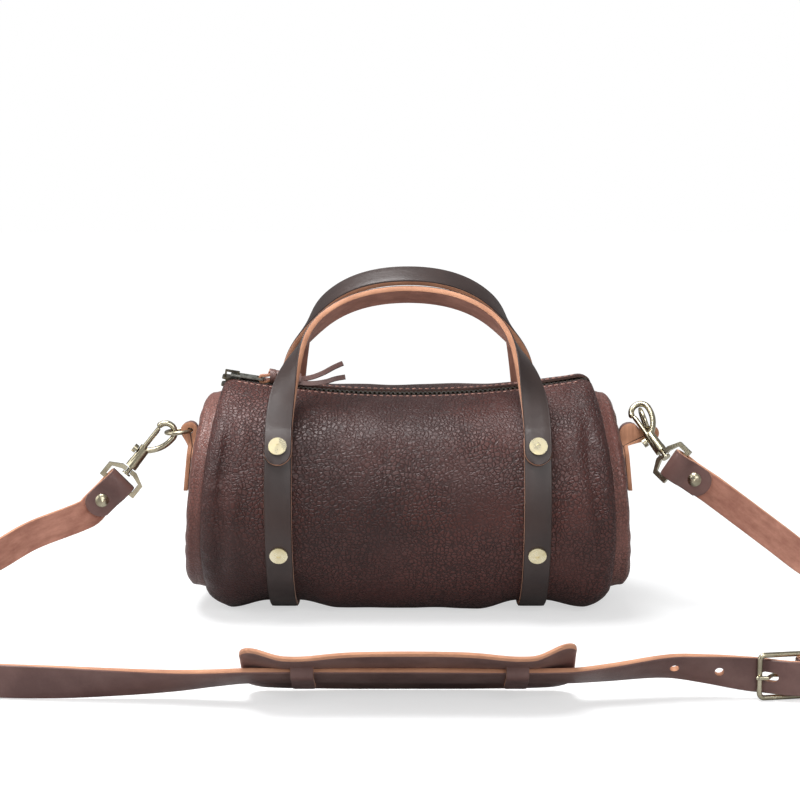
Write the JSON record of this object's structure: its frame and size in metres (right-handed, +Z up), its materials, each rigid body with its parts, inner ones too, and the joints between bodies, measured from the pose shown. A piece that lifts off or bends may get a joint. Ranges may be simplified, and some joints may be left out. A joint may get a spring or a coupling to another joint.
{
  "type": "crossbody bag",
  "caption": "Barrel crossbody bag in leather with short arched handles, a top zip, riveted bands and a shoulder strap with pad, buckle and trigger snap hooks.",
  "frame": {"origin": "on the floor under the middle of the barrel", "axes": "+X along the barrel to the right as seen from the front, +Y to the back, +Z up"},
  "size_m": [0.5496, 0.2794, 0.1857],
  "materials": {
    "body_leather": "pebbled, semi-matt",
    "trim_leather": "smooth, waxed",
    "strap_leather": "smooth, waxed",
    "pad_leather": "smooth, semi-matt",
    "tab_leather": "smooth, with tan cut edges",
    "thong_leather": "raw lace",
    "tape": "woven, matt",
    "teeth": "antique, dull",
    "slider_metal": "antique, satin",
    "hardware": "antique, polished",
    "rivet_brass": "polished"
  },
  "bodies": {
    "bag": {"body_panel": "body_leather", "left_end_panel": "body_leather", "right_end_panel": "body_leather", "zip_tape_front": "tape", "zip_tape_back": "tape", "zip_teeth_front": "teeth", "zip_teeth_back": "teeth", "zip_stops": "teeth", "left_band": "trim_leather", "right_band": "trim_leather", "front_handle_ends": "trim_leather", "back_handle_ends": "trim_leather", "top_rivets": "rivet_brass", "lower_rivets": "rivet_brass", "rivet_washers": "rivet_brass", "left_tab": "tab_leather", "right_tab": "tab_leather", "left_eye": "hardware", "right_eye": "hardware", "strap_long": "strap_leather", "strap_short": "strap_leather", "strap_rivets": "rivet_brass", "buckle_frame": "hardware", "keeper": "strap_leather"},
    "front_handle_body": {"front_handle": "trim_leather"},
    "back_handle_body": {"back_handle": "trim_leather"},
    "slider": {"zip_slider": "slider_metal"},
    "pull": {"zip_pull": "hardware", "zip_thong": "thong_leather"},
    "left_ring_body": {"left_ring": "hardware"},
    "right_ring_body": {"right_ring": "hardware"},
    "left_hook_body": {"left_hook": "hardware", "left_gate_spring": "hardware"},
    "right_hook_body": {"right_hook": "hardware", "right_gate_spring": "hardware"},
    "left_gate_body": {"left_gate": "hardware"},
    "right_gate_body": {"right_gate": "hardware"},
    "prong": {"buckle_prong": "hardware"},
    "pad": {"shoulder_pad": "pad_leather"}
  },
  "joints": [
    {"name": "front_handle_fold", "type": "hinge", "parent": "bag", "child": "front_handle_body", "pos_m": [0, -0.05402, 0.10503], "axis": [1, 0, 0], "range_deg": [0, 130]},
    {"name": "back_handle_fold", "type": "hinge", "parent": "bag", "child": "back_handle_body", "pos_m": [0, 0.05402, 0.10503], "axis": [-1, 0, 0], "range_deg": [0, 130]},
    {"name": "zip_travel", "type": "hinge", "parent": "bag", "child": "slider", "pos_m": [0, -0.09088, 0.71096], "axis": [0, -0.9903, -0.1392], "range_deg": [0, 17.83]},
    {"name": "pull_flip", "type": "hinge", "parent": "slider", "child": "pull", "pos_m": [-0.09491, -0.00901, 0.1284], "axis": [0, -0.9903, -0.1392], "range_deg": [0, 155]},
    {"name": "left_ring_swing", "type": "hinge", "parent": "bag", "child": "left_ring_body", "pos_m": [-0.1187, 0, 0.09652], "axis": [0.1805, -0.9836, 0], "range_deg": [-6, 2.5]},
    {"name": "right_ring_swing", "type": "hinge", "parent": "bag", "child": "right_ring_body", "pos_m": [0.1316, 0, 0.09502], "axis": [0, 1, 0], "range_deg": [-3, 2]},
    {"name": "left_swivel", "type": "hinge", "parent": "bag", "child": "left_hook_body", "pos_m": [-0.151, -0.00563, 0.0767], "axis": [0.6229, 0.114, 0.7739], "range_deg": [-20, 20]},
    {"name": "right_swivel", "type": "hinge", "parent": "bag", "child": "right_hook_body", "pos_m": [0.13673, -0.01663, 0.0872], "axis": [-0.4609, 0.5879, 0.6648], "range_deg": [-8, 4]},
    {"name": "left_gate_slide", "type": "slide", "parent": "left_hook_body", "child": "left_gate_body", "axis": [-0.6229, -0.114, -0.7739], "range_m": [0, 0.0045], "stiffness_N_per_m": 300, "springref_m": -0.003},
    {"name": "right_gate_slide", "type": "slide", "parent": "right_hook_body", "child": "right_gate_body", "axis": [0.4609, -0.5879, -0.6648], "range_m": [0, 0.0045], "stiffness_N_per_m": 300, "springref_m": -0.003},
    {"name": "prong_pivot", "type": "hinge", "parent": "bag", "child": "prong", "pos_m": [0.17788, -0.18375, 0.0111], "axis": [0, 0, 1], "range_deg": [0, 3]},
    {"name": "pad_slide", "type": "slide", "parent": "bag", "child": "pad", "axis": [1, 0, 0], "range_m": [-0.008, 0.008]}
  ]
}
